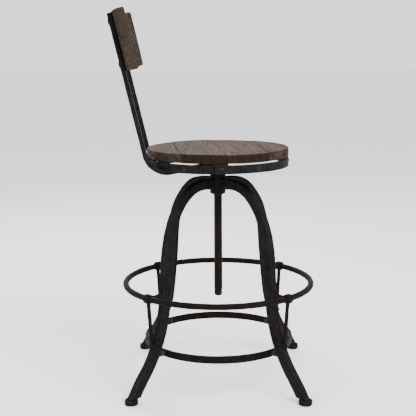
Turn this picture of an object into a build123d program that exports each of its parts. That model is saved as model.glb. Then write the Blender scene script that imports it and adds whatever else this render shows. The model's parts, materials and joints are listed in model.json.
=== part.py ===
"""Swivel bar stool with a back and a footrest ring: cast base, lifting screw, hooped wooden seat.

The frame: +Z up, the front of the seat towards -Y, the origin on the floor under the lifting screw.
Left is -X and right is +X, as seen from the front. The seat stands at its lowest setting.
"""

import os
from math import atan, cos, degrees, hypot, radians, sin, sqrt, tan

from build123d import *

# ---------------------------------------------------------------- driving dimensions (mm)
seat_radius = 180
seat_top = 606
wood_thickness = 22
board_joints = (-107, 0, 107)       # fore-and-aft places of the joints between the seat boards
board_gap = 0.3
board_turn = 3.7                    # the boards run this many degrees off the side-to-side line
board_steps = (0.0, -0.8, 0.2, -0.5)  # how the board tops stand above or below each other

base_turn = -3.3                    # the base stands this many degrees off the seat's heading
hub_radius = 20
hub_bottom = 486
hub_top = 544
leg_width = 18                      # across the leg; its depth follows the outline below
leg_corner = 3.5
foot_radius = 16.5
foot_height = 13
foot_reach = 299                    # from the screw to the middle of a foot

footrest_radius = 240
footrest_rod = 7.5
footrest_height = 253.5
brace_radius = 192                  # outside of the lower ring
brace_thickness = 5
brace_bottom = 96
brace_height = 19

screw_radius = 11
thread_pitch = 5
thread_depth = 1.7
screw_bottom = 232
running_clearance = 0.05            # radial, in the bush and round the screw's tip
body_clearance = 0.5                # between the hub and the seat's boss at the lowest setting
snug = 0.05                         # radial, round fixed pins and bolts

hoop_height = 21.2
hoop_thickness = 4.5
strap_width = 32
strap_thickness = 3.3
boss_radius = 20
rivet_count = 12
seam_angle = 135                    # where the hoop's two ends meet
seam_gap = 1.5

upright_half_spacing = 110
upright_width = 22
upright_thickness = 11
upright_bend = 54.5                 # centreline radius
lean = 13.1                         # the back's lean from the vertical, in degrees
panel_half_width = 190
panel_height = 144
panel_thickness = 18
panel_middle = 871                  # height of the panel's middle
panel_arc_radius = 715              # its back face, seen from above
bolt_rows = (46, -56)               # the panel bolts above and below the panel's middle

# ---------------------------------------------------------------- worked out from them
wood_bottom = seat_top - wood_thickness
strap_bottom = wood_bottom - strap_thickness
hoop_top = strap_bottom
hoop_bottom = hoop_top - hoop_height
boss_bottom = hub_top + body_clearance
brace_middle = brace_bottom + brace_height / 2
thread_top = hub_top - 4
leg_angles = {
    "back_right": 45 + base_turn,
    "back_left": 135 + base_turn,
    "front_left": 225 + base_turn,
    "front_right": 315 + base_turn,
}
lean_slope = tan(radians(lean))
bend_corner = (170.4, 548.5)          # where the upright's foot and its leaning run would cross

os.makedirs("parts", exist_ok=True)


def save(piece, name):
    """Label a finished piece and write its STEP file."""
    piece.part.label = name
    export_step(piece.part, f"parts/{name}.step")


def radial_plane(angle):
    """The upright plane through the screw: its x runs outwards and its y upwards."""
    a = radians(angle)
    return Plane(origin=(0, 0, 0), x_dir=(cos(a), sin(a), 0), z_dir=(sin(a), -cos(a), 0))


def leg_face(plane, line, station, side):
    """The plane on a leg's outer (side 1) or inner (side -1) face at a station, facing away from it."""
    reach, height, depth = station
    middle = plane.from_local_coords(Vector(reach, height, 0))
    heading = line.tangent_at(line.param_at_point(middle))
    away = plane.z_dir.cross(heading) * side
    return Plane(origin=middle + away * depth / 2, x_dir=plane.z_dir, z_dir=away)


def outward_plane(angle, distance, height):
    """A plane facing outwards at this distance from the screw, with its y upwards."""
    a = radians(angle)
    out = (cos(a), sin(a), 0)
    place = (distance * out[0], distance * out[1], height)
    return Plane(origin=place, x_dir=(-out[1], out[0], 0), z_dir=out)


# ---------------------------------------------------------------- base: hub and its threaded bush
bush_radius = 15

with BuildPart() as hub:
    with BuildSketch(Plane.XY.offset(hub_bottom)):
        Circle(hub_radius)
        Circle(bush_radius, mode=Mode.SUBTRACT)
    extrude(amount=hub_top - hub_bottom)
    rims = hub.edges().filter_by(GeomType.CIRCLE).sort_by(SortBy.RADIUS)[-2:].sort_by(Axis.Z)
    fillet(rims[0], radius=4)
    fillet(hub.edges().filter_by(GeomType.CIRCLE).sort_by(Axis.Z)[-1], radius=1)
save(hub, "hub")

with BuildPart() as bush:
    with BuildSketch(Plane.XY.offset(hub_bottom - 1.5)):
        Circle(bush_radius - snug / 2)
        Circle(screw_radius + running_clearance, mode=Mode.SUBTRACT)
    extrude(amount=hub_top - hub_bottom)
    chamfer(bush.edges().filter_by(GeomType.CIRCLE).sort_by(Axis.Z)[0], length=1)
save(bush, "threaded_bush")

# ---------------------------------------------------------------- base: the four cast legs
# A leg's sections from the hub over the shoulder to the foot: distance from the screw, height, depth.
leg_sections = [
    (10, 513.5, 27.5), (46, 514, 26.5), (78, 509.5, 24), (106, 495.5, 23.5), (129, 474, 23),
    (148, 447.5, 24.5), (161.5, 417, 27.5), (170, 385, 30.5), (175, 350, 32.5), (178.5, 310, 32.5),
    (184.3, 252, 30), (190, 212, 29.5), (200.5, 165, 28.5), (217, 124, 28.5), (226.3, 105.5, 28.5),
    (259, 58, 28.5), (281, 29, 28.5), (306, -3, 28.5),
]
arm_station = leg_sections[10]
strut_station = leg_sections[13]
stud_station = leg_sections[14]
tail_radius = 5                     # the bracket's tail, riveted over inside the leg
stud_radius = 4
stud_depth = 20

leg_lines = {}
for name, angle in leg_angles.items():
    plane = radial_plane(angle)
    line = Spline(*[plane.from_local_coords(Vector(reach, height, 0)) for reach, height, _ in leg_sections])
    with BuildPart() as leg:
        for reach, height, depth in leg_sections:
            middle = plane.from_local_coords(Vector(reach, height, 0))
            heading = line.tangent_at(line.param_at_point(middle))
            with BuildSketch(Plane(origin=middle, x_dir=plane.z_dir, z_dir=heading)):
                RectangleRounded(leg_width, depth, leg_corner)
        loft()
        with BuildSketch(Plane.XY.offset(foot_height)):
            Circle(2 * foot_reach)
        extrude(amount=-leg_width * 3, mode=Mode.SUBTRACT)
        with BuildSketch(Plane.XY.offset(hub_bottom)):
            Circle(hub_radius + snug)
        extrude(amount=hub_top - hub_bottom, mode=Mode.SUBTRACT)
        with BuildSketch(outward_plane(angle, 0, footrest_height)):
            Circle(tail_radius + snug)
        extrude(amount=foot_reach, mode=Mode.SUBTRACT)
        with BuildSketch(outward_plane(angle, brace_radius, brace_middle)):
            Circle(stud_radius + snug)
        extrude(amount=stud_depth + 20, mode=Mode.SUBTRACT)
    save(leg, f"leg_{name}")
    leg_lines[name] = line

    a = radians(angle)
    with BuildPart() as foot:
        with BuildSketch(Plane(origin=(foot_reach * cos(a), foot_reach * sin(a), 0))):
            Circle(foot_radius)
        extrude(amount=foot_height)
        rims = foot.edges().filter_by(GeomType.CIRCLE).sort_by(Axis.Z)
        fillet(rims[0], radius=3)
        fillet(rims[-1], radius=1.5)
    save(foot, f"foot_{name}")

# ---------------------------------------------------------------- base: the footrest and its brackets
with BuildPart() as footrest_ring:
    with BuildSketch(Plane.XZ):
        with Locations((footrest_radius, footrest_height)):
            Circle(footrest_rod)
    revolve(axis=Axis.Z)
save(footrest_ring, "footrest_ring")

eye_radius = 12
eye_length = 18
arm_radius = 5.5
strut_radius = 4.8
strut_boss_radius = 8
leg_play = 0.25                     # the brackets and studs stop this far off the legs' curved faces
ring_play = 0.25                    # the ring is bent, so its eyes are a little easy on it
tail_end = arm_station[0] - arm_station[2] / 2 - 1.5

for name, angle in leg_angles.items():
    plane = radial_plane(angle)
    arm_face = leg_face(plane, leg_lines[name], arm_station, 1)
    strut_face = leg_face(plane, leg_lines[name], strut_station, 1)
    eye_middle = plane.from_local_coords(Vector(footrest_radius, footrest_height, 0))
    strut_run = eye_middle - strut_face.origin
    arm_start = outward_plane(angle, arm_face.origin.dot(plane.x_dir) - 4, footrest_height)
    with BuildPart() as bracket:
        # the eye round the ring's rod
        with BuildSketch(Plane(origin=eye_middle - plane.z_dir * (eye_length / 2), z_dir=plane.z_dir)):
            Circle(eye_radius)
        extrude(amount=eye_length)
        fillet(bracket.edges().filter_by(GeomType.CIRCLE), radius=4)
        # the arm, which thickens to a collar against the leg
        with BuildSketch(arm_start):
            Circle(arm_radius)
        extrude(amount=(eye_middle - arm_start.origin).length - 4)
        with BuildSketch(arm_start):
            Circle(arm_radius + 4)
        extrude(amount=14, taper=14)
        # the strut down to the leg, which ends in a rounded boss
        with BuildSketch(Plane(origin=strut_face.origin, z_dir=strut_run.normalized())):
            Circle(strut_radius)
        extrude(amount=strut_run.length - 4)
        with Locations(strut_face.origin):
            Sphere(strut_boss_radius)
        # both stop a hair off the leg's faces
        for face in (arm_face, strut_face):
            with BuildSketch(face.offset(leg_play)):
                Rectangle(4 * strut_boss_radius, 4 * strut_boss_radius)
            extrude(amount=-3 * strut_boss_radius, mode=Mode.SUBTRACT)
        # the tail, through the leg
        with BuildSketch(outward_plane(angle, tail_end, footrest_height)):
            Circle(tail_radius)
        extrude(amount=footrest_radius - tail_end - eye_radius)
        # the bore for the ring
        with BuildSketch(Plane(origin=eye_middle - plane.z_dir * eye_length, z_dir=plane.z_dir)):
            Circle(footrest_rod + ring_play)
        extrude(amount=2 * eye_length, mode=Mode.SUBTRACT)
    save(bracket, f"footrest_bracket_{name}")

# ---------------------------------------------------------------- base: the lower ring and its studs
with BuildPart() as lower_ring:
    with BuildSketch(Plane.XY.offset(brace_bottom)):
        Circle(brace_radius)
        Circle(brace_radius - brace_thickness, mode=Mode.SUBTRACT)
    extrude(amount=brace_height)
    fillet(lower_ring.edges().filter_by(GeomType.CIRCLE), radius=1)
    for angle in leg_angles.values():
        with BuildSketch(outward_plane(angle, brace_radius - 20, brace_middle)):
            Circle(stud_radius + snug)
        extrude(amount=40, mode=Mode.SUBTRACT)
save(lower_ring, "lower_ring")

spacer_radius = 7
with BuildPart() as studs:
    for name, angle in leg_angles.items():
        face = leg_face(radial_plane(angle), leg_lines[name], stud_station, -1)
        with BuildSketch(outward_plane(angle, brace_radius + snug, brace_middle)):
            Circle(spacer_radius)
        extrude(amount=24)
        with BuildSketch(face.offset(leg_play)):
            Rectangle(60, 60)
        extrude(amount=-40, mode=Mode.SUBTRACT)
        with BuildSketch(outward_plane(angle, brace_radius - brace_thickness - 1, brace_middle)):
            Circle(stud_radius)
        extrude(amount=stud_depth + brace_thickness + 15)
        with BuildSketch(outward_plane(angle, brace_radius - brace_thickness - 3.5, brace_middle)):
            Circle(stud_radius)
        extrude(amount=3, taper=-45)
save(studs, "lower_ring_studs")

# ---------------------------------------------------------------- the lifting screw and its end
tip_radius = 6
tip_length = 12
screw_top = strap_bottom - 3
thread_turns = int((thread_top - screw_bottom - 4) / thread_pitch)
root = screw_radius - thread_depth
pin_height = (boss_bottom + strap_bottom) / 2
pin_radius = 3

with BuildPart() as screw:
    with BuildSketch(Plane.XZ):
        with BuildLine():
            points = [(0, screw_bottom - tip_length), (tip_radius, screw_bottom - tip_length),
                      (tip_radius, screw_bottom), (root, screw_bottom), (root, screw_bottom + 2)]
            for turn in range(thread_turns):
                start = screw_bottom + 2 + turn * thread_pitch
                points += [(screw_radius, start + 1.1), (screw_radius, start + 2.6), (root, start + 3.7)]
                points += [(root, start + thread_pitch)]
            points += [(screw_radius, points[-1][1] + 1.1), (screw_radius, screw_top), (0, screw_top)]
            Polyline(*points, close=True)
        make_face()
    revolve(axis=Axis.Z)
    with BuildSketch(Plane.YZ.offset(-boss_radius)):
        with Locations((0, pin_height)):
            Circle(pin_radius + snug)
    extrude(amount=2 * boss_radius, mode=Mode.SUBTRACT)
save(screw, "lifting_screw")

cap_radius = 10
cap_floor = 2.5
cap_bottom = screw_bottom - tip_length - 0.3 - cap_floor
with BuildPart() as screw_cap:
    with BuildSketch(Plane.XY.offset(cap_bottom)):
        Circle(cap_radius)
    extrude(amount=screw_bottom - 0.3 - cap_bottom)
    chamfer(screw_cap.edges().filter_by(GeomType.CIRCLE).sort_by(Axis.Z)[0], length=2)
    with BuildSketch(Plane.XY.offset(cap_bottom + cap_floor)):
        Circle(tip_radius + running_clearance)
    extrude(amount=tip_length + 1, mode=Mode.SUBTRACT)
save(screw_cap, "screw_end_cap")

# ---------------------------------------------------------------- seat: boss, strap and hoop
with BuildPart() as boss:
    with BuildSketch(Plane.XY.offset(boss_bottom)):
        Circle(boss_radius)
    extrude(amount=strap_bottom - boss_bottom)
    fillet(boss.edges().filter_by(GeomType.CIRCLE).sort_by(Axis.Z)[0], radius=1)
    with BuildSketch(Plane.XY.offset(boss_bottom)):
        Circle(screw_radius + snug)
    extrude(amount=screw_top - boss_bottom + 0.2, mode=Mode.SUBTRACT)
    with BuildSketch(Plane.YZ.offset(-boss_radius)):
        with Locations((0, pin_height)):
            Circle(pin_radius + snug)
    extrude(amount=2 * boss_radius, mode=Mode.SUBTRACT)
save(boss, "seat_boss")

with BuildPart() as boss_pin:
    with BuildSketch(Plane.YZ.offset(-boss_radius - 1)):
        with Locations((0, pin_height)):
            Circle(pin_radius)
    extrude(amount=2 * boss_radius + 2)
    chamfer(boss_pin.edges().filter_by(GeomType.CIRCLE), length=0.8)
save(boss_pin, "boss_pin")

strap_end = hoop_bottom + 2
strap_reach = seat_radius + 0.3
seat_screw_places = [(x, y) for x in (-140, -60, 60, 140) for y in (-8, 8)]
seat_screw_radius = 2.4
foot_bolt_place = 7                 # fore-and-aft place of the bolts that hold the uprights' feet
foot_bolt_radius = 4
rivet_shank = 3

with BuildPart() as strap:
    with BuildSketch(Plane.XZ.offset(-strap_width / 2)):
        with BuildLine():
            outer_x = strap_reach + strap_thickness
            Polyline(
                (-outer_x, strap_end), (-outer_x, wood_bottom), (outer_x, wood_bottom),
                (outer_x, strap_end), (strap_reach, strap_end), (strap_reach, strap_bottom),
                (-strap_reach, strap_bottom), (-strap_reach, strap_end), close=True,
            )
        make_face()
    extrude(amount=strap_width)
    bends = strap.edges().filter_by(Axis.Y).group_by(Axis.Z)[-1]
    fillet(bends, radius=4.5)
    tips = strap.faces().filter_by(Axis.X).sort_by(Axis.X)
    ends = tips[0].edges().filter_by(Axis.Z) + tips[-1].edges().filter_by(Axis.Z)
    chamfer(ends, length=1.2)
    with Locations(*[(x, y, wood_bottom) for x, y in seat_screw_places]):
        Hole(seat_screw_radius + snug, depth=strap_thickness)
    with Locations(*[(side * upright_half_spacing, foot_bolt_place, wood_bottom) for side in (-1, 1)]):
        Hole(foot_bolt_radius + snug, depth=strap_thickness)
    with BuildSketch(Plane.YZ.offset(-outer_x)):
        with Locations((0, (hoop_bottom + hoop_top) / 2)):
            Circle(rivet_shank + snug)
    extrude(amount=2 * outer_x, mode=Mode.SUBTRACT)
save(strap, "seat_strap")

rivet_height = (hoop_bottom + hoop_top) / 2
rivet_angles = [turn * 360 / rivet_count for turn in range(rivet_count)]
hoop_inside = seat_radius - hoop_thickness

with BuildPart() as hoop:
    with BuildSketch(Plane.XY.offset(hoop_bottom)):
        Circle(seat_radius)
        Circle(hoop_inside, mode=Mode.SUBTRACT)
        with PolarLocations(seat_radius - hoop_thickness / 2, 1, start_angle=seam_angle):
            Rectangle(3 * hoop_thickness, seam_gap, mode=Mode.SUBTRACT)
    extrude(amount=hoop_height)
    for angle in rivet_angles:
        with BuildSketch(outward_plane(angle, hoop_inside - 5, rivet_height)):
            Circle(rivet_shank + snug)
        extrude(amount=hoop_thickness + 10, mode=Mode.SUBTRACT)
save(hoop, "seat_hoop")

splice_thickness = 3
splice_span = 42
splice_height = 12
splice_bottom = hoop_bottom + 6
with BuildPart() as splice:
    with BuildSketch(Plane.XY.offset(splice_bottom)):
        with BuildLine():
            first = seam_angle - splice_span / 2
            near = CenterArc((0, 0), hoop_inside, first, splice_span)
            far = CenterArc((0, 0), hoop_inside - splice_thickness, first, splice_span)
            Line(near @ 0, far @ 0)
            Line(near @ 1, far @ 1)
        make_face()
    extrude(amount=splice_height)
    for angle in (seam_angle - 15, seam_angle + 15):
        with BuildSketch(outward_plane(angle, hoop_inside - 8, rivet_height)):
            Circle(rivet_shank + snug)
        extrude(amount=20, mode=Mode.SUBTRACT)
save(splice, "hoop_splice")

head_radius = 6
head_rise = 3
tail_radius_outer = 4.5
tail_radius_inner = 3.5
tail_rise = 2
dome_radius = (head_radius ** 2 + head_rise ** 2) / (2 * head_rise)

with BuildPart() as rivets:
    for angle in rivet_angles:
        on_strap = angle % 180 == 0
        on_splice = abs(angle - seam_angle) < 20
        face = strap_reach + strap_thickness if on_strap else seat_radius
        tail = hoop_inside - (splice_thickness if on_splice else 0)
        plane = Plane(origin=(0, 0, rivet_height), x_dir=(cos(radians(angle)), sin(radians(angle)), 0),
                      z_dir=(sin(radians(angle)), -cos(radians(angle)), 0))
        with BuildSketch(plane):
            with BuildLine():
                dome = ThreePointArc(
                    (face + head_rise, 0),
                    (face - dome_radius + head_rise + dome_radius * cos(0.46), dome_radius * sin(0.46)),
                    (face + 0.05, head_radius),
                )
                Polyline(
                    dome @ 1, (face + 0.05, rivet_shank), (tail - 0.2, rivet_shank),
                    (tail - 0.2, tail_radius_outer), (tail - 0.2 - tail_rise, tail_radius_inner),
                    (tail - 0.2 - tail_rise, 0), dome @ 0,
                )
            make_face()
        revolve(axis=Axis((0, 0, rivet_height), plane.x_dir))
save(rivets, "hoop_rivets")

# ---------------------------------------------------------------- seat: boards, dowels and screws
dowel_radius = 4
dowel_length = 44
dowel_height = wood_bottom + wood_thickness / 2
dowel_places = [(x, y) for y in board_joints for x in (-80, 80)]
seat_screw_top = wood_bottom + 14
edges_of_boards = [-seat_radius, *board_joints, seat_radius]
foot_bolt_top = wood_bottom + 12

for number in range(4):
    low = edges_of_boards[number] + (board_gap / 2 if number else -1)
    high = edges_of_boards[number + 1] - (board_gap / 2 if number < 3 else -1)
    with BuildPart() as board:
        with BuildSketch(Plane.XY.offset(wood_bottom)):
            Circle(seat_radius)
            middle = (low + high) / 2
            with Locations((-middle * sin(radians(board_turn)), middle * cos(radians(board_turn)))):
                Rectangle(3 * seat_radius, high - low, rotation=board_turn, mode=Mode.INTERSECT)
        extrude(amount=wood_thickness + board_steps[number])
        top_edges = board.edges().group_by(Axis.Z)[-1]
        chamfer(top_edges.filter_by(GeomType.LINE), length=0.6)
        fillet(board.edges().filter_by(GeomType.CIRCLE).group_by(Axis.Z)[-1], radius=3)
        for x, y in dowel_places:
            with BuildSketch(Plane.XZ.offset(-y - dowel_length / 2 - 0.2)):
                with Locations((x, dowel_height)):
                    Circle(dowel_radius + snug)
            extrude(amount=dowel_length + 0.4, mode=Mode.SUBTRACT)
        with BuildSketch(Plane.XY.offset(wood_bottom)):
            with Locations(*seat_screw_places):
                Circle(seat_screw_radius + snug)
        extrude(amount=seat_screw_top - wood_bottom + 1, mode=Mode.SUBTRACT)
        with BuildSketch(Plane.XY.offset(wood_bottom)):
            with Locations(*[(side * upright_half_spacing, foot_bolt_place) for side in (-1, 1)]):
                Circle(foot_bolt_radius + snug)
        extrude(amount=foot_bolt_top - wood_bottom + 1, mode=Mode.SUBTRACT)
    save(board, f"seat_board_{number + 1}")

with BuildPart() as dowels:
    for x, y in dowel_places:
        with BuildSketch(Plane.XZ.offset(-y - dowel_length / 2)):
            with Locations((x, dowel_height)):
                Circle(dowel_radius)
        extrude(amount=dowel_length)
save(dowels, "board_dowels")

seat_screw_head_radius = 4.5
seat_screw_head_bottom = strap_bottom - 3

with BuildPart() as seat_screws:
    with BuildSketch(Plane.XY.offset(seat_screw_head_bottom)):
        with Locations(*seat_screw_places):
            Circle(seat_screw_head_radius)
    extrude(amount=strap_bottom - seat_screw_head_bottom - snug)
    with BuildSketch(Plane.XY.offset(seat_screw_head_bottom)):
        with Locations(*seat_screw_places):
            Circle(seat_screw_radius)
    extrude(amount=seat_screw_top - seat_screw_head_bottom)
save(seat_screws, "seat_screws")

# ---------------------------------------------------------------- back: the two bent uprights
upright_top = panel_middle + 65
foot_level = strap_bottom - upright_thickness / 2
panel_bolt_radius = 4
lean_direction = Vector(0, sin(radians(lean)), cos(radians(lean)))
backwards = Vector(0, cos(radians(lean)), -sin(radians(lean)))
top_place = bend_corner[0] + (upright_top - bend_corner[1]) * lean_slope
upright_middle = bend_corner[0] + (panel_middle - bend_corner[1]) * lean_slope
sagitta = panel_arc_radius - sqrt(panel_arc_radius ** 2 - upright_half_spacing ** 2)
panel_offset = (upright_thickness + panel_thickness) / 2 / cos(radians(lean))
panel_place = upright_middle - panel_offset + sagitta - 0.5


def bolt_place(side, row):
    """The point on an upright's middle line that a panel bolt goes through."""
    return Vector(side * upright_half_spacing, upright_middle, panel_middle) + lean_direction * row


for side, name in ((-1, "left"), (1, "right")):
    x = side * upright_half_spacing
    with BuildPart() as upright:
        with BuildSketch(Plane.YZ.offset(x - upright_width / 2)):
            with BuildLine():
                FilletPolyline(
                    (-14, foot_level), (18, foot_level), bend_corner, (top_place, upright_top),
                    radius=[30, upright_bend],
                )
            trace(line_width=upright_thickness)
        extrude(amount=upright_width)
        fillet(upright.faces().filter_by(Axis.X).edges(), radius=2)
        with BuildSketch(Plane.XY.offset(hoop_bottom - snug)):
            Circle(seat_radius + 2 * snug)
            Circle(hoop_inside - 2 * snug, mode=Mode.SUBTRACT)
        extrude(amount=hoop_height, mode=Mode.SUBTRACT)
        with Locations((x, foot_bolt_place, strap_bottom)):
            Hole(foot_bolt_radius + snug, depth=upright_thickness + 2)
        for row in bolt_rows:
            middle = bolt_place(side, row)
            with BuildSketch(Plane(origin=middle - backwards * 20, x_dir=(1, 0, 0), z_dir=backwards)):
                Circle(panel_bolt_radius + snug)
            extrude(amount=40, mode=Mode.SUBTRACT)
    save(upright, f"upright_{name}")

foot_head_flats = 13
foot_head_height = 5.4
foot_head_bottom = strap_bottom - upright_thickness - foot_head_height - 0.1

with BuildPart() as foot_bolts:
    for side in (-1, 1):
        at = (side * upright_half_spacing, foot_bolt_place)
        with BuildSketch(Plane.XY.offset(foot_head_bottom)):
            with Locations(at):
                RegularPolygon(foot_head_flats / 2, 6, major_radius=False)
        extrude(amount=foot_head_height)
        with BuildSketch(Plane.XY.offset(foot_head_bottom)):
            with Locations(at):
                Circle(foot_bolt_radius)
        extrude(amount=foot_bolt_top - foot_head_bottom)
save(foot_bolts, "upright_foot_bolts")

# ---------------------------------------------------------------- back: the curved panel and its bolts
panel_plane = Plane(origin=(0, panel_place, panel_middle), x_dir=(1, 0, 0), z_dir=lean_direction)
edge_drop = panel_arc_radius - sqrt(panel_arc_radius ** 2 - panel_half_width ** 2)
half_thick = panel_thickness / 2
nut_radius = 7
nut_length = 7
nut_recess = 1

with BuildPart() as panel:
    with BuildSketch(panel_plane.offset(-panel_height / 2)):
        with BuildLine():
            rear = ThreePointArc((-panel_half_width, half_thick - edge_drop), (0, half_thick),
                                 (panel_half_width, half_thick - edge_drop))
            face = ThreePointArc((-panel_half_width, -half_thick - edge_drop), (0, -half_thick),
                                 (panel_half_width, -half_thick - edge_drop))
            Line(rear @ 0, face @ 0)
            Line(rear @ 1, face @ 1)
        make_face()
    extrude(amount=panel_height)
    corners = panel.edges().filter_by(Axis((0, 0, 0), backwards))
    fillet(corners, radius=8)
    fillet(panel.edges().filter_by(lambda e: e.length > 60), radius=2.5)
    for side in (-1, 1):
        housing = bolt_place(side, 0) - backwards * (upright_thickness / 2 + snug)
        with BuildSketch(Plane(origin=housing, x_dir=(1, 0, 0), z_dir=backwards)):
            Rectangle(upright_width + 4 * snug, 2 * panel_height)
        extrude(amount=panel_thickness, mode=Mode.SUBTRACT)
        for row in bolt_rows:
            middle = bolt_place(side, row)
            with BuildSketch(Plane(origin=middle - backwards * 60, x_dir=(1, 0, 0), z_dir=backwards)):
                Circle(panel_bolt_radius + snug)
            extrude(amount=80, mode=Mode.SUBTRACT)
            front_face = middle - backwards * (upright_thickness / 2 + panel_thickness + 0.6)
            with BuildSketch(Plane(origin=front_face, x_dir=(1, 0, 0), z_dir=backwards)):
                Circle(nut_radius + snug)
            extrude(amount=nut_length + nut_recess + 0.6, mode=Mode.SUBTRACT)
            with BuildSketch(Plane(origin=front_face, x_dir=(1, 0, 0), z_dir=-backwards)):
                Circle(nut_radius + snug)
            extrude(amount=20, mode=Mode.SUBTRACT)
save(panel, "back_panel")

with BuildPart() as panel_nuts:
    for side in (-1, 1):
        for row in bolt_rows:
            middle = bolt_place(side, row)
            start = middle - backwards * (upright_thickness / 2 + panel_thickness - nut_recess)
            with BuildSketch(Plane(origin=start, x_dir=(1, 0, 0), z_dir=backwards)):
                Circle(nut_radius)
                Circle(panel_bolt_radius + snug, mode=Mode.SUBTRACT)
            extrude(amount=nut_length)
save(panel_nuts, "panel_nuts")

bolt_head_radius = 9
bolt_head_rise = 2.5
bolt_dome = (bolt_head_radius ** 2 + bolt_head_rise ** 2) / (2 * bolt_head_rise)
with BuildPart() as panel_bolts:
    for side in (-1, 1):
        for row in bolt_rows:
            middle = bolt_place(side, row)
            rear_face = middle + backwards * (upright_thickness / 2 + 0.05)
            with BuildSketch(Plane(origin=rear_face, x_dir=backwards, z_dir=(1, 0, 0))):
                with BuildLine():
                    dome = ThreePointArc(
                        (bolt_head_rise, 0),
                        (bolt_head_rise - bolt_dome * (1 - cos(0.27)), bolt_dome * sin(0.27)),
                        (0, bolt_head_radius),
                    )
                    Polyline(dome @ 1, (0, panel_bolt_radius),
                             (-upright_thickness - panel_thickness + nut_recess + 1, panel_bolt_radius),
                             (-upright_thickness - panel_thickness + nut_recess + 1, 0), dome @ 0)
                make_face()
            revolve(axis=Axis(rear_face, backwards))
save(panel_bolts, "panel_bolts")
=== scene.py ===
"""Swivel bar stool with a back and a footrest ring: looks, light and camera. Metres, +Z up."""

import json
import math

import bmesh
import bpy
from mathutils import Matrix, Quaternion, Vector, noise


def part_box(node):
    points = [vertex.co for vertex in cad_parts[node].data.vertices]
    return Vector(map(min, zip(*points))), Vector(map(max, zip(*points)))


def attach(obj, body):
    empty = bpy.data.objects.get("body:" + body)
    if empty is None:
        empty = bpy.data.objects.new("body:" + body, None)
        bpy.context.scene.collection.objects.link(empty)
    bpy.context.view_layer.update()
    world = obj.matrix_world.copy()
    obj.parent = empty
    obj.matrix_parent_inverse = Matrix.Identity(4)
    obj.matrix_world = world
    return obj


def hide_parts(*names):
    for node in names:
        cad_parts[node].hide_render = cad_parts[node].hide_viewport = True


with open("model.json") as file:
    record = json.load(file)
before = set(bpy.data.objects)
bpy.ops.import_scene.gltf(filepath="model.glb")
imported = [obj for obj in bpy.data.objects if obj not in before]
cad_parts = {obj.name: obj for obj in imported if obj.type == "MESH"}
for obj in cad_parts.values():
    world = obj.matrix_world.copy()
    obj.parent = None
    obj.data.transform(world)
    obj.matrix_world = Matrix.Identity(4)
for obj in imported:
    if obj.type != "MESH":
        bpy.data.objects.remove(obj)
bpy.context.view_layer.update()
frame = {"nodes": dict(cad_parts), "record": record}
nodes = frame["nodes"]

# ---------------------------------------------------------------- camera
seat_heading = math.radians(-3.0)     # the line of sight, off the seat's side-to-side line
aim_left = 0.0111                     # the screw stands a little right of the middle
distance = 2.306
height = 0.858
pitch = 0.1761
roll = -0.006
focal_length = 78.77                  # mm, on a 36 mm sensor

camera_data = bpy.data.cameras.new("camera")
camera_data.lens = focal_length
camera_data.sensor_width = 36
camera = bpy.data.objects.new("camera", camera_data)
bpy.context.scene.collection.objects.link(camera)
camera.location = (-distance * math.cos(seat_heading), -distance * math.sin(seat_heading), height)
turn = seat_heading + aim_left
look = Vector((math.cos(turn) * math.cos(pitch), math.sin(turn) * math.cos(pitch), -math.sin(pitch)))
camera.rotation_mode = "QUATERNION"
camera.rotation_quaternion = look.to_track_quat("-Z", "Y") @ Quaternion((0, 0, 1), roll)
bpy.context.scene.camera = camera


# ---------------------------------------------------------------- materials
class Shader:
    """A small helper round one material's node tree."""

    def __init__(self, name):
        self.material = bpy.data.materials.new(name)
        self.material.use_nodes = True
        self.tree = self.material.node_tree
        self.bsdf = self.tree.nodes["Principled BSDF"]
        places = self.node("ShaderNodeTexCoord")
        self.object_space = places.outputs["Object"]
        self.facing = places.outputs["Normal"]

    def node(self, kind, **settings):
        made = self.tree.nodes.new(kind)
        for key, value in settings.items():
            setattr(made, key, value)
        return made

    def link(self, source, target):
        self.tree.links.new(source, target)

    def put(self, target, value):
        if isinstance(value, bpy.types.NodeSocket):
            self.link(value, target)
        else:
            target.default_value = value

    def stretched(self, scale, place=(0, 0, 0)):
        made = self.node("ShaderNodeMapping")
        self.link(self.object_space, made.inputs["Vector"])
        made.inputs["Scale"].default_value = scale
        made.inputs["Location"].default_value = place
        return made.outputs["Vector"]

    def noise(self, vector, scale, detail=4.0, roughness=0.55, distortion=0.0):
        made = self.node("ShaderNodeTexNoise")
        self.link(vector, made.inputs["Vector"])
        made.inputs["Scale"].default_value = scale
        made.inputs["Detail"].default_value = detail
        made.inputs["Roughness"].default_value = roughness
        made.inputs["Distortion"].default_value = distortion
        return made.outputs["Fac"]

    def math(self, operation, first, second=0.0, clamp=False):
        made = self.node("ShaderNodeMath", operation=operation, use_clamp=clamp)
        self.put(made.inputs[0], first)
        self.put(made.inputs[1], second)
        return made.outputs[0]

    def ramp(self, value, stops, smooth=False):
        made = self.node("ShaderNodeValToRGB")
        if smooth:
            made.color_ramp.interpolation = "EASE"
        elements = made.color_ramp.elements
        while len(elements) < len(stops):
            elements.new(0.5)
        for element, (place, colour) in zip(elements, stops):
            element.position = place
            element.color = (*colour, 1) if isinstance(colour, tuple) else (colour, colour, colour, 1)
        self.link(value, made.inputs["Fac"])
        return made.outputs["Color"]

    def mix(self, factor, first, second, blend="MIX"):
        made = self.node("ShaderNodeMix", data_type="RGBA", blend_type=blend)
        self.put(made.inputs[0], factor)
        for socket, value in ((made.inputs[6], first), (made.inputs[7], second)):
            self.put(socket, (*value, 1) if isinstance(value, tuple) else value)
        return made.outputs[2]

    def bump(self, height_value, strength, depth, previous=None):
        made = self.node("ShaderNodeBump")
        made.inputs["Strength"].default_value = strength
        made.inputs["Distance"].default_value = depth
        self.link(height_value, made.inputs["Height"])
        if previous is not None:
            self.link(previous, made.inputs["Normal"])
        return made.outputs["Normal"]


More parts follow.
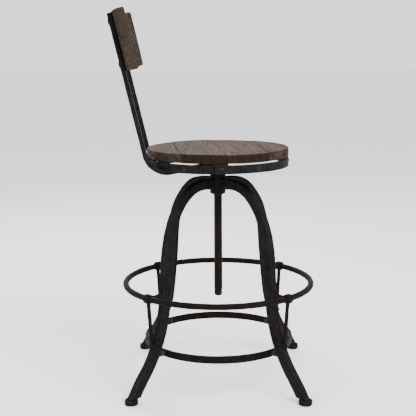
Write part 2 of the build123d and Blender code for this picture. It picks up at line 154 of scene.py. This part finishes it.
def iron(name, dark, light, rust, rough=0.6, grain=0.5, rubbed=0.5, shine=0.035, thread=None):
    """Old dark iron: mottled, grainy, a little rusty in patches, brighter where it is rubbed.

    thread gives the radii of a screw's painted shade in its grooves: darkest at the first radius, none at
    the second.
    """
    s = Shader(name)
    mottle = s.noise(s.object_space, 34, 6, 0.65, 0.5)
    coarse = s.noise(s.object_space, 230, 4, 0.7, 0.3)
    fine = s.noise(s.object_space, 560, 4, 0.65)
    colour = s.mix(s.ramp(mottle, [(0.38, 0.0), (0.64, 1.0)], True), dark, light)
    grit = s.math("MULTIPLY", s.ramp(coarse, [(0.44, 0.0), (0.64, 1.0)], True), 0.7)
    colour = s.mix(grit, colour, tuple(2.3 * c for c in light))
    patches = s.noise(s.object_space, 15, 5, 0.7, 1.2)
    patches = s.math("MULTIPLY", patches, s.noise(s.object_space, 150, 4, 0.6))
    colour = s.mix(s.ramp(patches, [(0.26, 0.0), (0.38, 0.5)], True), colour, rust)
    colour = s.mix(s.ramp(fine, [(0.36, 0.75), (0.5, 0.0)], True), colour, tuple(0.35 * c for c in dark))
    edge = s.node("ShaderNodeNewGeometry").outputs["Pointiness"]
    broken = s.ramp(fine, [(0.3, 0.3), (0.7, 1.0)])
    worn = s.math("MULTIPLY", s.ramp(edge, [(0.508, 0.0), (0.56, rubbed)], True), broken)
    colour = s.mix(worn, colour, tuple(3.2 * c for c in light))
    # painted shade in the screw's thread grooves: the colour darkens towards the root radius
    if thread is not None:
        root, crest = thread
        off_axis = s.node("ShaderNodeVectorMath", operation="LENGTH")
        s.link(s.stretched((1 / crest, 1 / crest, 0)), off_axis.inputs[0])
        groove_painted_shade = s.ramp(off_axis.outputs["Value"], [(root / crest, 0.1), (0.985, 1.0)])
        colour = s.mix(1.0, colour, groove_painted_shade, "MULTIPLY")
    s.link(colour, s.bsdf.inputs["Base Color"])
    s.link(s.ramp(mottle, [(0.3, rough - 0.1), (0.7, rough + 0.12)]), s.bsdf.inputs["Roughness"])
    s.bsdf.inputs["Specular IOR Level"].default_value = shine
    normal = s.bump(mottle, 0.5, 0.0012)
    normal = s.bump(coarse, grain, 0.0012, normal)
    normal = s.bump(fine, grain, 0.0005, normal)
    s.link(normal, s.bsdf.inputs["Normal"])
    return s.material


def timber(name, pith, turned, tones, seed, ring=0.0042, weathered=0.5, end_tone=(0.42, 0.38, 0.36),
           end_rings=1.0):
    """Old waxed wood: growth rings round a pith line, so that end grain and long grain both follow.

    pith is a point on the pith line, which runs side to side but for turned degrees about the vertical.
    end_tone darkens the end grain, and end_rings says how strongly the rings mark it.
    """
    s = Shader(name)
    turns = []
    for source in (s.object_space, s.facing):
        turn = s.node("ShaderNodeVectorRotate", rotation_type="Z_AXIS")
        s.link(source, turn.inputs["Vector"])
        turn.inputs["Angle"].default_value = -math.radians(turned)
        turns.append(turn.outputs["Vector"])
    s.object_space, s.facing = turns
    across = s.node("ShaderNodeVectorMath", operation="SUBTRACT")
    s.link(s.stretched((0, 1, 1)), across.inputs[0])
    across.inputs[1].default_value = (0, pith[0], pith[1])
    length = s.node("ShaderNodeVectorMath", operation="LENGTH")
    s.link(across.outputs[0], length.inputs[0])
    sway = s.noise(s.stretched((2.2, 9, 9), (seed, seed * 0.7, 0)), 1.6, 4, 0.5, 0.6)
    waver = s.noise(s.stretched((4, 30, 30), (seed, 3, 0)), 5, 3, 0.5)
    radius = length.outputs["Value"]
    for wander, reach in ((sway, 0.026), (waver, 0.0035)):
        radius = s.math("ADD", radius, s.math("MULTIPLY", s.math("SUBTRACT", wander, 0.5), reach))
    phase = s.math("FRACT", s.math("DIVIDE", radius, ring))
    year = s.math("FLOOR", s.math("DIVIDE", radius, ring))
    vary = s.node("ShaderNodeTexWhiteNoise", noise_dimensions="1D")
    s.link(year, vary.inputs["W"])
    late = s.ramp(phase, [(0.0, 0.15), (0.45, 0.3), (0.75, 1.0), (0.93, 0.95), (1.0, 0.15)])
    late = s.math("MULTIPLY", late, s.math("ADD", s.math("MULTIPLY", vary.outputs["Value"], 0.55), 0.45))
    fibre = s.noise(s.stretched((12, 330, 330), (seed, 0, seed)), 1, 5, 0.65)
    pores = s.noise(s.stretched((18, 900, 900), (0, seed, 0)), 1, 2, 0.5)
    streaks = s.noise(s.stretched((4, 95, 95), (seed, seed, 0)), 1, 5, 0.7, 0.5)
    cloud = s.noise(s.stretched((9, 16, 16), (0, 0, seed)), 1, 5, 0.6, 0.8)
    dark, middle, pale = tones
    colour = s.mix(s.ramp(fibre, [(0.34, 0.0), (0.64, 1.0)], True), middle, pale)
    colour = s.mix(s.ramp(streaks, [(0.42, 0.0), (0.6, 0.8)], True), colour, dark)
    colour = s.mix(s.math("MULTIPLY", late, 0.8), colour, dark)
    stain = tuple(0.5 * c for c in dark)
    colour = s.mix(s.ramp(cloud, [(0.44, 0.0), (0.68, weathered)], True), colour, stain)
    colour = s.mix(s.ramp(pores, [(0.57, 0.0), (0.68, 0.8)], True), colour, tuple(0.25 * c for c in dark))
    parts = s.node("ShaderNodeSeparateXYZ")
    s.link(s.facing, parts.inputs[0])
    grey = s.ramp(parts.outputs["Z"], [(0.5, 0.0), (0.9, 0.4)])
    grey = s.math("MULTIPLY", grey, s.ramp(fibre, [(0.36, 0.2), (0.6, 1.0)]))
    colour = s.mix(grey, colour, tuple(0.9 * c for c in pale))
    end = s.ramp(s.math("ABSOLUTE", parts.outputs["X"]), [(0.5, 0.0), (0.85, 1.0)], True)
    rings = s.math("MULTIPLY", late, 1.15 * end_rings, clamp=True)
    rings = s.mix(rings, tuple(0.62 * c for c in pale), tuple(0.6 * c for c in dark))
    rings = s.mix(s.ramp(pores, [(0.52, 0.0), (0.64, 0.6)], True), rings, stain)
    colour = s.mix(s.math("MULTIPLY", end, 0.85), colour, s.mix(1.0, rings, end_tone, "MULTIPLY"))
    s.link(colour, s.bsdf.inputs["Base Color"])
    s.link(s.ramp(fibre, [(0.3, 0.72), (0.7, 0.58)]), s.bsdf.inputs["Roughness"])
    s.bsdf.inputs["Specular IOR Level"].default_value = 0.035
    normal = s.bump(s.math("MULTIPLY", late, -1.0), 0.5, 0.0008)
    normal = s.bump(fibre, 0.6, 0.0006, normal)
    normal = s.bump(pores, 0.4, 0.0004, normal)
    s.link(normal, s.bsdf.inputs["Normal"])
    return s.material


# each iron: its dark and light tones and its rust
iron_rust = (0.0150, 0.0078, 0.0054)
cast = iron(
    "cast_iron", (0.0024, 0.0023, 0.0024), (0.0082, 0.0078, 0.0079), iron_rust,
)
hub_cast = iron(
    "hub_cast_iron", (0.0025, 0.0021, 0.0020), (0.0090, 0.0078, 0.0074), iron_rust, rough=0.56,
)
foot_cast = iron(
    "foot_cast_iron", (0.0026, 0.0022, 0.0020), (0.0092, 0.0076, 0.0068), iron_rust, rough=0.66,
)
forged = iron(
    "forged_ring", (0.0020, 0.0014, 0.0012), (0.0064, 0.0046, 0.0037), (0.0170, 0.0082, 0.0054), rough=0.56,
)
bracket_iron = iron(
    "bracket_iron", (0.0020, 0.0015, 0.0012), (0.0066, 0.0050, 0.0042), (0.0180, 0.0088, 0.0056),
)
bar = iron(
    "rolled_bar", (0.0024, 0.0023, 0.0024), (0.0088, 0.0084, 0.0086), (0.0130, 0.0078, 0.0058), rough=0.56,
)
heads = iron(
    "hammered_heads", (0.0028, 0.0026, 0.0025), (0.0110, 0.0102, 0.0098), iron_rust, rough=0.52, rubbed=0.8,
)
screw_low, screw_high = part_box("lifting_screw")
screw_crest = (screw_high.x - screw_low.x) / 2
screw_root_shade = screw_crest - 0.0022    # the painted shade in the thread's grooves is darkest at this radius, and the thread starts there
# the screw's colour gets painted shade in its thread grooves
steel = iron(
    "screw_steel", (0.0028, 0.0019, 0.0015), (0.0105, 0.0072, 0.0056), (0.0240, 0.0125, 0.0082), rough=0.5,
    thread=(screw_root_shade, screw_crest),
)
bush_steel = iron(
    "bush_steel", (0.0030, 0.0024, 0.0021), (0.0110, 0.0088, 0.0076), iron_rust, rough=0.48,
)

board_turn = 3.7                      # the boards run this many degrees off the side-to-side line
# each wood: its dark, middle and pale tones
tones = ((0.0070, 0.0036, 0.0020), (0.0300, 0.0186, 0.0120), (0.0900, 0.0620, 0.0430))
back_tones = ((0.0060, 0.0036, 0.0022), (0.0270, 0.0182, 0.0122), (0.0700, 0.0505, 0.0360))
boards = [
    timber("board_wood_1", (0.30, 0.60), board_turn, tones, 1.7, ring=0.0054, end_tone=(1.1, 1.03, 0.97)),
    timber("board_wood_2", (0.24, 0.56), board_turn, tones, 4.2, ring=0.0056, end_tone=(0.40, 0.35, 0.31)),
    timber("board_wood_3", (-0.20, 0.50), board_turn, tones, 7.9, ring=0.0050, end_tone=(0.36, 0.32, 0.28)),
    timber("board_wood_4", (0.30, 0.45), board_turn, tones, 9.3, ring=0.0062, end_tone=(0.95, 0.88, 0.82)),
]
back_wood = timber(
    "back_wood", (0.42, 0.98), 0.0, back_tones, 12.4,
    ring=0.0060, end_tone=(1.0, 0.99, 0.98), end_rings=0.45,
)
dowel_wood = timber("dowel_wood", (0.0, 0.55), 90.0, tones, 3.1)

slots = {
    "base_iron": cast, "hub_iron": hub_cast, "foot_iron": foot_cast, "ring_iron": forged,
    "bracket_iron": bracket_iron, "strap_iron": bar, "fastener_iron": heads, "screw_steel": steel,
    "bush_steel": bush_steel, "back_wood": back_wood, "dowel_wood": dowel_wood, "seat_wood": boards[0],
}
node_slots = {p["node"]: p["material_slot"] for p in frame["record"]["subparts"]}
bodies = {n: b for b, names in frame["record"]["behaviour"]["bodies"].items() for n in names}


def paint(obj, material):
    obj.data.materials.clear()
    obj.data.materials.append(material)


for name, obj in nodes.items():
    paint(obj, slots[node_slots[name]])
for number, material in enumerate(boards):
    paint(nodes[f"seat_board_{number + 1}"], material)


# ---------------------------------------------------------------- skins in place of the frame's plain ones
def grown(name, bm, material, body, *stands_for):
    """Turn a bmesh into a smooth object that rides on a body in place of some of the frame's nodes."""
    mesh = bpy.data.meshes.new(name)
    bm.to_mesh(mesh)
    bm.free()
    for face in mesh.polygons:
        face.use_smooth = True
    obj = bpy.data.objects.new(name, mesh)
    bpy.context.scene.collection.objects.link(obj)
    paint(obj, material)
    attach(obj, body)
    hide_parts(*stands_for)
    return obj


def evaluated_copy(node, *modifiers):
    """A bmesh of a node's mesh after some modifiers, each given as (kind, settings)."""
    scratch = bpy.data.objects.new("scratch", nodes[node].data.copy())
    bpy.context.scene.collection.objects.link(scratch)
    for kind, settings in modifiers:
        added = scratch.modifiers.new(kind, kind)
        for key, value in settings.items():
            setattr(added, key, value)
    graph = bpy.context.evaluated_depsgraph_get()
    done = scratch.evaluated_get(graph)
    bm = bmesh.new()
    bm.from_mesh(done.to_mesh())
    done.to_mesh_clear()
    bpy.data.objects.remove(scratch)
    return bm


def uneven(bm, waves, seed, still=None):
    """Move a mesh's points in and out along their normals by a few layers of noise: (wavelength, depth).

    still says which points stay where they are.
    """
    bm.normal_update()
    shift = Vector((seed * 3.1, seed * 1.7, seed * 2.3))
    moves = []
    for vert in bm.verts:
        total = 0.0
        if still is None or not still(vert):
            for wavelength, depth in waves:
                total += depth * noise.noise(vert.co / wavelength + shift)
        moves.append(vert.normal * total)
    for vert, move in zip(bm.verts, moves):
        vert.co += move


def rough_skin(node, voxel, waves, seed, rounds=1, still=None):
    """A node re-meshed finely, its edges softened and its skin left uneven, but within the node's box."""
    bm = evaluated_copy(
        node,
        ("REMESH", {"mode": "VOXEL", "voxel_size": voxel, "use_smooth_shade": True}),
        ("SMOOTH", {"factor": 0.5, "iterations": rounds}),
    )
    uneven(bm, waves, seed, still)
    low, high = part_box(node)
    for vert in bm.verts:
        for axis in range(3):
            vert.co[axis] = min(max(vert.co[axis], low[axis]), high[axis])
    return grown(f"{node}_skin", bm, slots[node_slots[node]], bodies[node], node)


# the unevenness that each way of making leaves
mould = [(0.05, 0.0007), (0.014, 0.00035), (0.005, 0.00018)]
small_mould = [(0.02, 0.0005), (0.006, 0.0002)]
pad_mould = [(0.012, 0.0006), (0.004, 0.0002)]
fitting_mould = [(0.012, 0.0004), (0.004, 0.00015)]
hammered = [(0.03, 0.0004), (0.011, 0.0003)]
sawn = [(0.09, 0.0008), (0.025, 0.0004), (0.008, 0.00015)]

for seed, corner in enumerate(("back_right", "back_left", "front_left", "front_right")):
    rough_skin(f"leg_{corner}", 0.0016, mould, seed + 1)
    rough_skin(f"foot_{corner}", 0.0011, pad_mould, seed + 11)
    rough_skin(f"footrest_bracket_{corner}", 0.0009, fitting_mould, seed + 21)

singles = (
    ("hub", 0.0010, small_mould),
    ("seat_boss", 0.0010, small_mould),
    ("seat_hoop", 0.0009, hammered),
    ("seat_strap", 0.0010, hammered),
    ("upright_left", 0.0012, hammered),
    ("upright_right", 0.0012, hammered),
    ("footrest_ring", 0.0012, hammered),
    ("lower_ring", 0.0009, hammered),
)
for seed, (node, voxel, waves) in enumerate(singles, start=31):
    rough_skin(node, voxel, waves, seed)

hoop_low, hoop_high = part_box("seat_hoop")
seat_reach = (hoop_high.x - hoop_low.x) / 2
rim_depth = 0.004                     # points nearer the rim than this belong to it


def on_joint(vert):
    """Whether a board's point lies on a face that meets the next board."""
    return abs(vert.normal.z) < 0.7 and math.hypot(vert.co.x, vert.co.y) < seat_reach - rim_depth


for number, material in enumerate(boards):
    skin = rough_skin(f"seat_board_{number + 1}", 0.0010, sawn, 41 + number, rounds=0, still=on_joint)
    paint(skin, material)
rough_skin("back_panel", 0.0012, sawn, 46)


# ---------------------------------------------------------------- the lifting screw's real thread
thread_pitch = 0.005
tip_length = 0.012                    # the thin tip, which the cap hides
shank_start = 0.543                   # above this height the screw is plain
end_slope = 0.8                       # how fast the thread grows to its full depth at its lower end


def helical_screw():
    """The lifting screw with a right-hand helix in place of the frame's rings, over the same length."""
    crest = screw_crest
    profile = [crest - 0.0024, crest - 0.0004, crest, crest, crest, crest - 0.0014]
    around = 56
    per_turn = len(profile)
    start = screw_low.z + tip_length
    end = screw_high.z
    rows = int((end - start) / thread_pitch * per_turn) + 2 * per_turn
    bm = bmesh.new()
    grid = []
    for row in range(rows):
        line = []
        for step in range(around + 1):
            z = start - thread_pitch + (row / per_turn + step / around) * thread_pitch
            radius = crest if z > shank_start else profile[row % per_turn]
            z = min(max(z, start), end)
            radius = min(radius, screw_root_shade + (z - start) * end_slope)
            angle = 2 * math.pi * step / around
            line.append(bm.verts.new((radius * math.cos(angle), radius * math.sin(angle), z)))
        grid.append(line)
    for lower, upper in zip(grid, grid[1:]):
        for step in range(around):
            bm.faces.new((lower[step], lower[step + 1], upper[step + 1], upper[step]))
    bm.faces.new(list(reversed(grid[0][:-1])))
    bm.faces.new(grid[-1][:-1])
    bmesh.ops.remove_doubles(bm, verts=bm.verts, dist=1e-6)
    grown("lifting_screw_thread", bm, steel, "seat", "lifting_screw")


helical_screw()


# ---------------------------------------------------------------- light, floor
def area_light(name, place, size, power):
    """A soft rectangular light that faces the middle of the stool."""
    data = bpy.data.lights.new(name, "AREA")
    data.shape = "RECTANGLE"
    data.size, data.size_y = size
    data.energy = power
    lamp = bpy.data.objects.new(name, data)
    bpy.context.scene.collection.objects.link(lamp)
    lamp.location = place
    lamp.rotation_mode = "QUATERNION"
    lamp.rotation_quaternion = (lit_point - Vector(place)).to_track_quat("-Z", "Y")


world = bpy.data.worlds.new("studio")
world.use_nodes = True
background = world.node_tree.nodes["Background"]
background.inputs["Color"].default_value = (1, 1, 1, 1)
background.inputs["Strength"].default_value = 1.6
bpy.context.scene.world = world
lit_point = Vector((0, 0, 0.5))
area_light("key", (-1.6, -1.3, 2.4), (1.8, 1.2), 105)
area_light("fill", (-1.2, 2.0, 1.4), (1.6, 1.6), 22)
area_light("rim", (2.0, 0.6, 2.2), (1.8, 1.2), 55)

floor_half = 30
floor_corners = [(x * floor_half, y * floor_half, 0) for x, y in ((-1, -1), (1, -1), (1, 1), (-1, 1))]
floor_mesh = bpy.data.meshes.new("floor")
floor_mesh.from_pydata(floor_corners, [], [(0, 1, 2, 3)])
floor = bpy.data.objects.new("floor", floor_mesh)
bpy.context.scene.collection.objects.link(floor)
floor_look = Shader("pale_floor")
floor_look.bsdf.inputs["Base Color"].default_value = (0.92, 0.92, 0.92, 1)
floor_look.bsdf.inputs["Roughness"].default_value = 0.9
paint(floor, floor_look.material)
